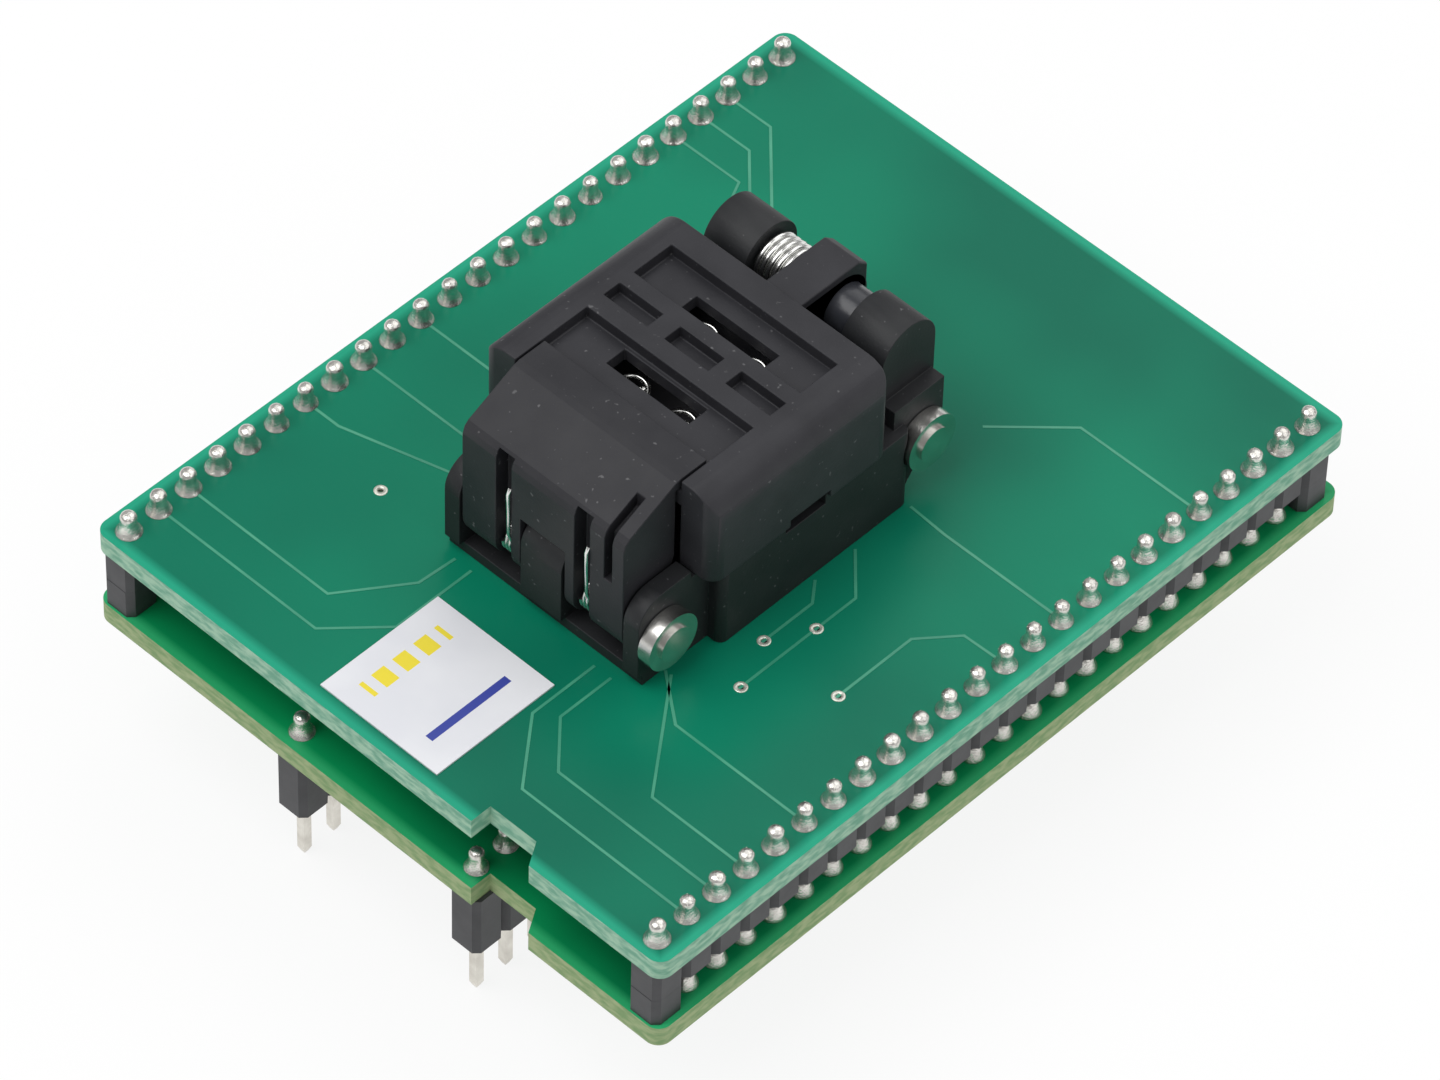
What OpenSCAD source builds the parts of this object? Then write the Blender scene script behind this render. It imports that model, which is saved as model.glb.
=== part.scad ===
/* [Boards] */
// Width of both boards, across the pin rows
board_x = 49.1; // [48.6:0.1:52]
// Length of both boards, along the pin rows
board_y = 61.9; // [61.5:0.1:66]
// Thickness of one board
board_t = 1.6; // [1:0.1:2.4]
// Radius of the boards' corners
board_r = 1; // [0.3:0.1:2]
// Height of the space between the two boards
board_gap = 4.8; // [4.4:0.1:8]
// Width of the notch in the front edge that marks pin 1
notch_w = 3.9; // [2:0.1:5]
// Depth of that notch
notch_d = 1.65; // [0.5:0.05:2.4]
// How far the notch's right side flares out at the edge
notch_flare = 1; // [0:0.1:1.6]
// Distance of the notch's middle from the boards' middle
notch_x = 10.55; // [9:0.05:14]
// Distance that the pin rows lie towards the front, from the boards' middle
row_shift = 0.3; // [0:0.05:0.8]

/* [Pin rows] */
// Distance from one pin to the next
pitch = 2.54; // [2:0.01:2.54]
// Pins in each row
pins = 24; // [20:1:24]
// Distance between the two outer rows, which join the boards
riser_span = 45.72; // [40.64:0.01:45.72]
// Distance between the two rows that plug into a programmer
plug_span = 15.24; // [10.16:0.01:20]
// Side of the square pins
pin_w = 0.64; // [0.4:0.02:0.8]
// Length of plug pin below its insulator
plug_len = 4.95; // [3:0.05:12]
// Height of one moulded insulator strip
strip_h = 2.48; // [1.5:0.02:3.5]
// Depth of the V notch where the strip snaps between two positions
strip_vee = 0.42; // [0.1:0.02:0.8]
// Radius of the solder at the board
solder_r = 0.85; // [0.5:0.05:1]
// Height of the solder cone
solder_h = 1.05; // [0.4:0.05:1.4]
// Length of pin that stands above the solder's foot
pin_proud = 1.5; // [1.1:0.05:2.2]
// Clearance of a pin in its hole
pin_play = 0.08; // [0.02:0.01:0.15]

/* [Label] */
// Side of the square paper label
label_side = 10.1; // [5:0.1:11]
// Thickness of the label
label_t = 0.12; // [0.05:0.01:0.3]
// Distance of the label's middle from the boards' middle, to the left
label_x = 0.45; // [0:0.05:5]
// Distance of the label's middle from the boards' middle, towards the front
label_y = 24.85; // [22:0.05:25.5]

/* [Socket base] */
// Distance of the socket's middle (under the chip) from the boards' middle, towards the front
socket_shift = 3.3; // [1:0.1:6]
// Width of the moulded base
base_w = 19; // [18:0.1:22]
// Height of the base at the parting with the lid
base_h = 6.7; // [6.5:0.1:7.5]
// Front end of the base's main block, from the socket's middle
base_front = 7; // [6.8:0.1:7.4]
// Back end of the base's main block, from the socket's middle
base_back = 9.8; // [9.2:0.1:10]
// Radius of the base's upright corners
base_r = 0.6; // [0.3:0.1:1.2]
// Front face of the posts that hold the latch pin, from the socket's middle
post_front = 13.1; // [13:0.05:13.4]
// Height of those posts
post_h = 7.2; // [6.9:0.05:7.4]
// Outer width of the two outer posts together
post_span = 16.7; // [16.2:0.1:17.4]
// Width of the middle post, between the latch springs
post_mid_w = 3.5; // [2.5:0.1:3.6]
// Length of the thumb notch in the parting of base and lid
thumb_l = 3.5; // [2:0.1:5]
// Depth of the thumb notch
thumb_d = 1.2; // [0.5:0.1:1.8]
// Outer width of the two hinge ears together
ear_span = 15.4; // [14.4:0.1:17]
// Width of the left hinge ear
ear_w_left = 3.6; // [2.5:0.1:4]
// Width of the right hinge ear
ear_w_right = 3.6; // [2.5:0.1:3.8]
// Radius of the rounded top of each hinge ear
ear_r = 2.4; // [2:0.05:2.6]
// Width of the shoulder block below the hinge ears
shoulder_w = 17.6; // [16:0.1:18]
// Height of the shoulder block's top
shoulder_h = 8.3; // [8:0.1:8.4]

/* [Hinge] */
// Distance of the hinge axis behind the socket's middle
hinge_y = 11.2; // [11:0.05:11.4]
// Height of the hinge axis above the board
hinge_z = 11.2; // [11:0.05:11.5]
// Radius of the hinge pin
hinge_pin_r = 0.9; // [0.6:0.05:1.1]
// Running clearance round a pin
run_play = 0.05; // [0.02:0.01:0.08]
// Turns of the hinge spring
hinge_turns = 5; // [3:1:5]
// Thickness of the hinge spring's wire
hinge_wire = 0.45; // [0.3:0.01:0.48]
// Middle radius of the hinge spring's coil
hinge_coil_r = 1.65; // [1.4:0.05:1.7]
// Outer radius of the spacer sleeve on the hinge pin
spacer_r = 1.75; // [1.2:0.05:2]

/* [Lid] */
// Width of the lid
lid_w = 19.8; // [19:0.1:21]
// Height of the lid's flat top above the board
lid_top = 14.2; // [14:0.05:14.6]
// Gap between the base and the closed lid
lid_gap = 0.12; // [0.08:0.01:0.2]
// Front end of the lid's cheeks, from the socket's middle
lid_front = 8.3; // [8:0.1:8.6]
// Back end of the lid, from the socket's middle
lid_back = 7.35; // [7:0.05:7.6]
// Radius of the lid's long upper edges
lid_edge_r = 2.1; // [1:0.1:2.4]
// Depth of the recesses in the lid's top
recess_d = 0.9; // [0.4:0.05:1]
// Left side of the lid's hinge lug, from the middle
lug_left = 1.05; // [0.8:0.05:1.3]
// Right side of the lid's hinge lug, from the middle
lug_right = 2; // [1.6:0.05:2.2]
// Radius of the lug round the hinge pin
lug_r = 2.3; // [2:0.05:2.4]
// Length of the two through slots
slot_l = 7; // [5:0.1:8]
// Width of the two through slots
slot_w = 1.6; // [1:0.1:1.8]
// Distance of each through slot from the middle
slot_y = 3.15; // [3:0.05:3.3]

/* [Latch] */
// Width of the latch
latch_w = 13.8; // [12.5:0.1:14]
// Distance of the latch pin in front of the socket's middle
latch_y = 11.1; // [10.9:0.05:11.3]
// Height of the latch pin above the board
latch_z = 3.6; // [3.3:0.05:3.9]
// Radius of the two headed cross pins: the latch pin and the anchor pin
cross_pin_r = 0.8; // [0.5:0.05:1]
// Radius of the bright head on each cross pin
head_r = 2.1; // [1.5:0.05:2.3]
// Thickness of the head
head_t = 1; // [0.5:0.05:1.2]
// Front face of the latch, from the socket's middle
latch_front = 13; // [12.9:0.05:13.4]
// Back edge of the latch's hook, from the socket's middle
hook_back = 5.9; // [5.8:0.05:6.2]
// Distance of each latch spring from the middle
latch_spring_x = 3.35; // [3.1:0.05:3.6]
// Width of the slots that hold the latch springs
latch_slot_w = 1.3; // [1.25:0.05:1.4]
// Turns of each latch spring
latch_turns = 3; // [2:1:3]
// Thickness of the latch springs' wire
latch_wire = 0.28; // [0.2:0.01:0.32]
// Gap between the latch and what it passes at its sides
latch_play = 0.15; // [0.08:0.01:0.25]
// Middle radius of the latch springs' coils
latch_coil_r = 1.45; // [1.2:0.05:1.5]

/* [Chip seat] */
// Side of the chip package that the nest holds
chip_side = 7; // [6:0.5:7]
// Leads on each side of the chip
leads = 12; // [8:1:12]
// Distance from one chip lead to the next
lead_pitch = 0.5; // [0.4:0.05:0.5]
// Clearance of the chip in the nest, on each side
chip_play = 0.06; // [0.03:0.01:0.15]
// Height of the seat that the chip lies on, above the board
seat_z = 5; // [4.6:0.05:5.2]
// Width of one contact strip
contact_w = 0.24; // [0.15:0.01:0.26]
// Side of the pressure pad's foot
pad_side = 6.6; // [5:0.1:6.8]
// Side of the pressure pad's flange
flange_side = 9.1; // [8.6:0.1:9.2]
// Wire of the pressure pad's springs
pad_wire = 0.3; // [0.2:0.01:0.4]
// Middle radius of the pressure pad's springs
pad_coil_r = 0.95; // [0.7:0.05:1]

/* [Hidden] */

$fn = 40;
eps = 0.02;

// Clearances and small steps
press_play = 0.01;
end_play = 0.1;
head_play = 0.12;
post_play = 0.25;
nest_play = 0.05;
slit_play = 0.04;
pad_play = 0.15;
pad_lip = 0.2;
seat_play = 0.35;
hook_play = 0.06;
hook_gap = 0.25;

// Heights above the pins' tips
plug_block_z = plug_len;
lower_z = plug_block_z + 2 * strip_h;
lower_top = lower_z + board_t;
top_z = lower_top + board_gap;
top_top = top_z + board_t;

// Sideways places
riser_x = riser_span / 2;
plug_x = plug_span / 2;
row_y = -row_shift;
row_half = (pins - 1) * pitch / 2;
socket_y = -socket_shift;

// Plan of the socket, seen from its middle at the board's surface
lid_z = base_h + lid_gap;
cheek_x = latch_w / 2 + latch_play;
ear_back = hinge_y + ear_r;
shoulder_back = ear_back - 0.2;
shoulder_front = hinge_y - ear_r + 0.1;
ear_out = ear_span / 2;
anchor_z = 4.5;
anchor_y = hinge_y + 0.2;
post_out = post_span / 2;
solder_foot = 0.08;
solder_tip = pin_w / sqrt(2) + 0.05;
foot_t = 0.9;
foot_front = post_front - 0.4;
blind = 0.8;
pocket_d = 1;
thumb_y = 0.35;
thumb_h = 0.8;

// Chip seat, in the same plan
well = 11.4;
pocket = 10.6;
floor_t = 1.5;
nest_z = 3.4;
nest_top = base_h - 0.1;
wall_top = seat_z + 0.7;
chip_t = 0.95;
contact_t = 0.16;
tail_in = 4.5;
tail_out = 4.95;
tail_proud = 0.5;
tip_in = 3.05;
tip_out = 3.6;
lead_places = [for (i = [0:leads - 1]) (i - (leads - 1) / 2) * lead_pitch];

// Lid and latch, in the same plan
ledge_t = 1.3;
ledge_back = 5.5;
recess_y = 2.05;
rear_recess_l = 3.3;
short_pitch = 5.2;
short_l = 3.7;
short_w = 1.4;
lip_z = lid_z + 0.6;
cavity_top = lid_top - recess_d - 1;
flange_t = 1.2;
spring_seat = 0.5;
pad_spring_x = 2.1;
latch_slot_d = 1.1;
latch_slot_top = 11.95;
relief_x = 5.25;
relief_w = 0.65;
relief_z = 7.7;
relief_d = 0.9;
relief_top_l = 2.8;

// Leg of the hinge spring: its foot below the hinge, its knee, and its distance from the lid
leg_foot = 2.2;
leg_knee = 1.6;
leg_bow = 0.2;
leg_clear = 0.35;

// A rectangle of given sides with true round corners
module round_rect(w, l, r) {
    square([w - 2 * r, l], center = true);
    square([w, l - 2 * r], center = true);
    for (x = [-1, 1], y = [-1, 1])
        translate([x * (w / 2 - r), y * (l / 2 - r)]) circle(r);
}

// An outline in the plane of Y and Z, given thickness along X from x0 to x1
module side_slab(x0, x1) {
    translate([x0, 0, 0]) rotate([90, 0, 90]) linear_extrude(x1 - x0) children();
}

// A cylinder along X from x0 to x1, at y and z
module cross_rod(r, x0, x1, y, z) {
    translate([x0, y, z]) rotate([0, 90, 0]) cylinder(r = r, h = x1 - x0);
}

// A tube of n sides swept along the points of a path; across is a direction the path never takes
module wire(path, r, n, across) {
    last = len(path) - 1;
    function unit(v) = v / norm(v);
    function heading(i) = unit(path[min(i + 1, last)] - path[max(i - 1, 0)]);
    rings = [for (i = [0:last]) let (t = heading(i), u = unit(cross(across, t)), v = cross(t, u))
        for (k = [0:n - 1]) path[i] + r * (u * cos(360 * k / n) + v * sin(360 * k / n))];
    sides = [for (i = [0:last - 1], k = [0:n - 1], half = [0, 1])
        let (a = i * n + k, b = i * n + (k + 1) % n) half == 0 ? [a, a + n, b + n] : [a, b + n, b]];
    ends = [[for (k = [0:n - 1]) k], [for (k = [n - 1:-1:0]) last * n + k]];
    polyhedron(points = rings, faces = concat(sides, ends), convexity = 10);
}

module at_socket() {
    translate([0, socket_y, top_top]) children();
}

// ---- Boards ----

module board_plan() {
    difference() {
        round_rect(board_x, board_y, board_r);
        translate([notch_x, -board_y / 2])
            polygon([[-notch_w / 2, -1], [notch_w / 2 + notch_flare, -1], [notch_w / 2 + notch_flare, 0],
                     [notch_w / 2, notch_d], [-notch_w / 2, notch_d]]);
    }
}

module pin_holes(x, h) {
    for (s = [-1, 1], i = [0:pins - 1])
        translate([s * x, row_y - row_half + i * pitch, -1])
            cylinder(r = pin_w / sqrt(2) + pin_play, h = h + 2);
}

module lower_board() {
    color([0.09, 0.5, 0.27]) translate([0, 0, lower_z]) difference() {
        linear_extrude(board_t) board_plan();
        pin_holes(riser_x, board_t);
        pin_holes(plug_x, board_t);
    }
}

// Plated through holes between traces on the top board
via_places = [[12.7, -4.8], [11.1, -7.8], [17.4, -7.8], [12.7, -11.5], [-14.3, -15.8]];

module top_board() {
    color([0.1, 0.45, 0.35]) translate([0, 0, top_z]) difference() {
        linear_extrude(board_t) board_plan();
        pin_holes(riser_x, board_t);
        for (v = via_places) translate([v[0], v[1] - row_shift, -1]) cylinder(r = 0.2, h = board_t + 2);
        translate([0, socket_y, 0]) tail_holes(board_t);
    }
}

module label() {
    color([0.93, 0.93, 0.93])
        translate([-label_x, -label_y, top_top]) linear_extrude(label_t) square(label_side, center = true);
}

// ---- Pin rows ----

module strip_plan(count) {
    half = pitch / 2;
    for (i = [0:count - 1])
        translate([0, (i - (count - 1) / 2) * pitch])
            polygon([[-half, -half + strip_vee], [-half + strip_vee, -half - eps],
                     [half - strip_vee, -half - eps], [half, -half + strip_vee],
                     [half, half - strip_vee], [half - strip_vee, half + eps],
                     [-half + strip_vee, half + eps], [-half, half - strip_vee]]);
}

module strip(x, z, h, count = pins) {
    color([0.09, 0.09, 0.1]) translate([x, row_y, z]) difference() {
        linear_extrude(h) intersection() {
            strip_plan(count);
            square([pitch * 2, count * pitch], center = true);
        }
        for (i = [0:count - 1])
            translate([-pin_w / 2 - 0.03, (i - (count - 1) / 2) * pitch - pin_w / 2 - 0.03, -1])
                cube([pin_w + 0.06, pin_w + 0.06, h + 2]);
    }
}

// A square pin with a blunt four-sided point at its lower end
module square_pin(z0, z1) {
    tip = pin_w * 0.6;
    translate([-pin_w / 2, -pin_w / 2, z0 + tip]) cube([pin_w, pin_w, z1 - z0 - tip]);
    translate([0, 0, z0]) rotate(45)
        cylinder(r1 = pin_w * 0.38, r2 = pin_w / sqrt(2), h = tip + eps, $fn = 4);
}

module pin_row(x, z0, z1) {
    color([0.78, 0.77, 0.74]) for (i = [0:pins - 1])
        translate([x, row_y - row_half + i * pitch, 0]) square_pin(z0, z1);
}

// Solder that rises round the pins from the board at height z, without the last pins where skip is 1
module solder_row(x, z, skip = 0) {
    color([0.7, 0.71, 0.7]) for (i = [skip:pins - 1 - skip])
        translate([x, row_y - row_half + i * pitch, z]) difference() {
            rotate_extrude() polygon(concat([[0, 0], [solder_r, 0], [solder_r, solder_foot]],
                [for (t = [1:5]) let (u = t / 5)
                    [solder_r + (solder_tip - solder_r) * sqrt(1 - (1 - u) * (1 - u)),
                     solder_foot + (solder_h - solder_foot) * u]],
                [[0, solder_h]]));
            translate([-pin_w / 2, -pin_w / 2, -1]) cube([pin_w, pin_w, solder_h + 2]);
        }
}

module riser_spacers() {
    color([0.09, 0.09, 0.1]) for (s = [-1, 1], e = [-1, 1])
        translate([s * riser_x, row_y + e * row_half, lower_top + 0.02]) difference() {
            linear_extrude(board_gap - strip_h - 0.04) strip_plan(1);
            translate([-pin_w / 2 - 0.03, -pin_w / 2 - 0.03, -1])
                cube([pin_w + 0.06, pin_w + 0.06, board_gap]);
        }
}

// ---- Socket base ----

// Outline of a hinge ear seen from the side
module ear_side() {
    translate([hinge_y, hinge_z]) circle(ear_r);
    translate([hinge_y - ear_r, shoulder_h - 1]) square([2 * ear_r, hinge_z - shoulder_h + 1]);
}

// Outline of the block below the ears, which hangs over the board at the back
module shoulder_side() {
    polygon([[shoulder_front, base_h - 1], [base_back - 0.6, 0], [base_back, 0],
             [shoulder_back, anchor_z + 0.6], [shoulder_back, shoulder_h], [shoulder_front, shoulder_h]]);
}

// Outline of a post that carries the latch pin; it is lower where the lid hangs over it
module post_side() {
    r = post_front - latch_y;
    end = -lid_front - post_play;
    translate([-post_front + r, 0]) square([post_front - base_front - r + 0.5, base_h]);
    translate([-post_front + r, base_h - 1]) square([end + post_front - r, post_h - base_h + 1]);
    translate([-post_front, foot_t]) square([r + 0.1, post_h - foot_t - r]);
    translate([-post_front + r, post_h - r]) circle(r);
}

module socket_base() {
    pocket_x = -ear_out + ear_w_left;
    color([0.16, 0.165, 0.175]) at_socket() difference() {
        union() {
            translate([0, (base_back - base_front) / 2, 0])
                linear_extrude(base_h) round_rect(base_w, base_front + base_back, base_r);
            side_slab(-shoulder_w / 2, shoulder_w / 2) shoulder_side();
            side_slab(-ear_out, -ear_out + ear_w_left) ear_side();
            side_slab(ear_out - ear_w_right, ear_out) ear_side();
            side_slab(-post_out, -cheek_x) post_side();
            side_slab(cheek_x, post_out) post_side();
            side_slab(-post_mid_w / 2, post_mid_w / 2) post_side();
            translate([-post_out, -foot_front, 0])
                cube([2 * post_out, foot_front - base_front + 1, foot_t]);
        }
        // Well that the nest drops into, and the deeper pocket for the contacts below it
        translate([-well / 2, -well / 2, nest_z]) cube([well, well, base_h]);
        translate([-pocket / 2, -pocket / 2, floor_t]) cube([pocket, pocket, base_h]);
        // Windows for the contacts' tails in the floor
        for (a = [0:90:270]) rotate(a) translate([-leads * lead_pitch / 2, tail_in - 0.3, -1])
            cube([leads * lead_pitch, tail_out - tail_in + 0.8, floor_t + 2]);
        // Thumb notch at the parting, on both sides
        for (s = [-1, 1]) translate([s * base_w / 2 - thumb_d, thumb_y - thumb_l / 2, base_h - thumb_h])
            cube([2 * thumb_d, thumb_l, thumb_h + 1]);
        // Pocket under the hinge spring
        translate([pocket_x, shoulder_front - 1, shoulder_h - pocket_d])
            cube([-lug_left - pocket_x + 0.1, 2 * ear_r + 2, 2 * pocket_d]);
        // Bores: the hinge pin's is blind in the right ear
        cross_rod(hinge_pin_r + press_play, -ear_out - 1, ear_out - blind, hinge_y, hinge_z);
        cross_rod(cross_pin_r + press_play, -base_w, base_w, anchor_y, anchor_z);
        cross_rod(cross_pin_r + press_play, -base_w, base_w, -latch_y, latch_z);
        // Round seat for the anchor pin's head, where it reaches the block's corner
        cross_rod(head_r + head_play, shoulder_w / 2, base_w, anchor_y, anchor_z);
    }
}

// ---- Chip seat and contacts ----

module device_nest() {
    side = well - 2 * nest_play;
    opening = chip_side + 2 * chip_play;
    lead_in = opening / 2 + base_h - wall_top;
    color([0.1, 0.1, 0.11]) at_socket() difference() {
        translate([-side / 2, -side / 2, nest_z]) cube([side, side, nest_top - nest_z]);
        translate([-opening / 2, -opening / 2, seat_z]) cube([opening, opening, base_h]);
        // Sloping walls that lead the chip in
        for (a = [0:90:270]) rotate(a) side_slab(-lead_in + 0.1, lead_in - 0.1)
            polygon([[opening / 2 - eps, wall_top], [lead_in, base_h], [0, base_h], [0, wall_top]]);
        // One slit for each contact
        for (a = [0:90:270]) rotate(a) for (x = lead_places)
            translate([x - contact_w / 2 - slit_play, tip_in - 2 * slit_play, nest_z - 1])
                cube([contact_w + 2 * slit_play, tip_out - tip_in + 4 * slit_play, base_h]);
    }
}

// A strip of even thickness t along a path, as a flat outline
module ribbon(path, t) {
    last = len(path) - 1;
    function side(i) =
        let (d = path[min(i + 1, last)] - path[max(i - 1, 0)]) [-d[1], d[0]] / norm(d) * t / 2;
    polygon(concat([for (i = [0:last]) path[i] + side(i)], [for (i = [last:-1:0]) path[i] - side(i)]));
}

// One contact: its tail in the board, its spring loop, and its tip under a lead of the chip
module contact(tail) {
    loop = pocket / 2 - 0.35;
    side_slab(-contact_w / 2, contact_w / 2) ribbon([
        [tail, -board_t - tail_proud], [tail, 0], [tail, floor_t * 0.6], [tail + 0.05, floor_t],
        [loop - 0.1, floor_t + 0.35], [loop, floor_t + 0.7],
        [loop - 0.15, floor_t + 1.05], [loop - 0.5, floor_t + 1.2],
        [tip_in + 0.5, floor_t + 1.25], [tip_in + 0.2, nest_z + 0.1], [tip_in + 0.1, nest_z + 0.5],
        [tip_in + 0.25, seat_z - 0.3], [tip_in + 0.35, seat_z - 0.02]
    ], contact_t);
}

module contact_side(angle) {
    color([0.85, 0.68, 0.32]) at_socket() rotate(angle) for (i = [0:leads - 1])
        translate([lead_places[i], 0, 0]) contact(i % 2 == 0 ? tail_out : tail_in);
}

module tail_holes(h) {
    for (a = [0:90:270]) rotate(a) for (i = [0:leads - 1])
        translate([lead_places[i], i % 2 == 0 ? tail_out : tail_in, -1])
            cylinder(r = norm([contact_w, contact_t]) / 2 + 0.04, h = h + 2);
}

// ---- Hinge ----

module hinge_pin() {
    color([0.75, 0.76, 0.77]) at_socket()
        cross_rod(hinge_pin_r, -ear_out + 0.1, ear_out - blind - 0.05, hinge_y, hinge_z);
}

// Sleeve that keeps the lid's lug beside the spring
module hinge_spacer() {
    color([0.13, 0.13, 0.14]) at_socket() difference() {
        cross_rod(spacer_r, lug_right + end_play, ear_out - ear_w_right - end_play / 4, hinge_y, hinge_z);
        cross_rod(hinge_pin_r + run_play, 0, ear_out, hinge_y, hinge_z);
    }
}

// A cross pin with a bright round head on its right end
module headed_pin(x0, x1, y, z) {
    color([0.8, 0.8, 0.8]) at_socket() {
        cross_rod(cross_pin_r, x0, x1 + 0.1, y, z);
        cross_rod(head_r, x1 + 0.05, x1 + 0.05 + head_t, y, z);
        cross_rod(head_r * 0.6, x1 + head_t, x1 + head_t + 0.3, y, z);
    }
}

module latch_pin() {
    headed_pin(-post_out + 0.1, post_out, -latch_y, latch_z);
}

module anchor_pin() {
    headed_pin(-shoulder_w / 2 + 0.1, shoulder_w / 2, anchor_y, anchor_z);
}

// Points of a coil about an axis along X from angle 180; way is 1 or -1, and step lies between its turns
function coil(x0, y, z, r, step, turns, per, way) =
    [for (i = [0:turns * per]) let (a = 180 + way * 360 * i / per)
        [x0 + step * i / per, y + r * cos(a), z + r * sin(a)]];

// The leg to the lid lies along the lid's back edge; the other end sits in the pocket
module hinge_spring() {
    step = hinge_wire + 0.03;
    x1 = -lug_left - end_play - hinge_wire / 2;
    x0 = x1 - step * hinge_turns;
    r = hinge_coil_r;
    leg = [[x0, lid_back + leg_clear, hinge_z - leg_foot], [x0, hinge_y - r - leg_bow, hinge_z - leg_knee],
           [x0, hinge_y - r, hinge_z - leg_knee / 2]];
    turns = coil(x0, hinge_y, hinge_z, r, step, hinge_turns, 18, -1);
    color([0.8, 0.8, 0.8]) at_socket() wire(concat(leg, turns), hinge_wire / 2, 8, [1, 0, 0]);
}

// ---- Lid ----

// Outline of the lid seen from the front
module lid_front_outline() {
    h = lid_top - lid_z;
    translate([-lid_w / 2, lid_z]) square([lid_w, h - lid_edge_r]);
    translate([-lid_w / 2 + lid_edge_r, lid_z]) square([lid_w - 2 * lid_edge_r, h]);
    for (s = [-1, 1]) translate([s * (lid_w / 2 - lid_edge_r), lid_top - lid_edge_r]) circle(lid_edge_r);
}

// Outline of the lug that turns on the hinge pin
module lug_side() {
    translate([hinge_y, hinge_z]) circle(lug_r);
    translate([lid_back - 1, hinge_z - 1.4]) square([hinge_y - lid_back + 1, lug_r + 1.4]);
}

module lid() {
    floor_z = lid_top - recess_d;
    ledge_z = floor_z - ledge_t;
    cavity = flange_side + 2 * pad_play;
    mouth = flange_side - 2 * pad_lip;
    color([0.24, 0.24, 0.26]) at_socket() difference() {
        union() {
            intersection() {
                translate([0, lid_back, 0]) rotate([90, 0, 0]) linear_extrude(lid_back + lid_front)
                    lid_front_outline();
                translate([0, (lid_back - lid_front) / 2, 0])
                    linear_extrude(lid_top + 1) round_rect(lid_w, lid_back + lid_front, 1);
            }
            side_slab(-lug_left, lug_right) lug_side();
        }
        // Recess that the latch's hook lies in, open to the front, and the undercut below its ledge
        translate([-cheek_x, -lid_front - 1, floor_z])
            cube([2 * cheek_x, lid_front + 1 - recess_y, 2 * recess_d]);
        translate([-cheek_x, -lid_front - 1, lid_z - 1])
            cube([2 * cheek_x, lid_front - ledge_back + 1, ledge_z - lid_z + 1]);
        // Rear recess
        translate([-cheek_x, recess_y, floor_z]) cube([2 * cheek_x, rear_recess_l, 2 * recess_d]);
        // Three short recesses across the middle
        for (x = [-1, 0, 1]) translate([x * short_pitch - short_l / 2, -short_w / 2 + 0.1, floor_z])
            cube([short_l, short_w, 2 * recess_d]);
        // Two slots right through
        for (s = [-1, 1]) translate([-slot_l / 2, s * slot_y - slot_w / 2, lid_z])
            cube([slot_l, slot_w, lid_top]);
        // Cavity for the pressure pad, with a lip that its flange rests on
        translate([-cavity / 2, -cavity / 2, lip_z]) cube([cavity, cavity, cavity_top - lip_z]);
        translate([-mouth / 2, -mouth / 2, lid_z - 1]) cube([mouth, mouth, lip_z - lid_z + 2]);
        // Thumb notch at the parting, on both sides
        for (s = [-1, 1]) translate([s * lid_w / 2 - thumb_d, thumb_y - thumb_l / 2, lid_z - 1])
            cube([2 * thumb_d, thumb_l, thumb_h + 0.8]);
        cross_rod(hinge_pin_r + run_play, -lid_w, lid_w, hinge_y, hinge_z);
    }
}

module pressure_pad() {
    color([0.2, 0.2, 0.21]) at_socket() difference() {
        union() {
            translate([-pad_side / 2, -pad_side / 2, seat_z + chip_t])
                cube([pad_side, pad_side, lip_z - seat_z]);
            translate([-flange_side / 2, -flange_side / 2, lip_z])
                cube([flange_side, flange_side, flange_t]);
        }
        // Seats of the four springs
        for (x = [-1, 1], y = [-1, 1])
            translate([x * pad_spring_x, y * slot_y, lip_z + flange_t - spring_seat])
                cylinder(r = pad_coil_r + seat_play, h = flange_t);
    }
}

module pad_springs() {
    z0 = lip_z + flange_t - spring_seat + pad_wire / 2 + eps;
    z1 = cavity_top - pad_wire / 2 - eps;
    turns = 4;
    per = 10;
    color([0.85, 0.85, 0.85]) at_socket() for (x = [-1, 1], y = [-1, 1])
        wire([for (i = [0:turns * per]) let (a = 360 * i / per)
            [x * pad_spring_x + pad_coil_r * cos(a), y * slot_y + pad_coil_r * sin(a),
             z0 + (z1 - z0) * i / (turns * per)]], pad_wire / 2, 5, [0, 0, 1]);
}

// ---- Latch ----

// Outline of the latch seen from the side: barrel, upright and hook
module latch_side() {
    barrel = latch_front - latch_y;
    hook_low = lid_top - recess_d + hook_play;
    back = -lid_front - hook_gap;
    polygon(concat([[-latch_front, lid_top - 2.9], [-latch_front + 0.15, lid_top - 2.4],
             [-latch_front + 0.5, lid_top - 2.05], [-lid_front - 0.3, lid_top - 0.12],
             [-lid_front + 0.2, lid_top], [-hook_back, lid_top], [-hook_back, hook_low],
             [back, hook_low], [back, base_h + 0.9],
             [-latch_y + barrel, latch_z + 1.8]],
            [for (a = [0:-12:-180]) [-latch_y + barrel * cos(a), latch_z + barrel * sin(a)]]));
}

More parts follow.
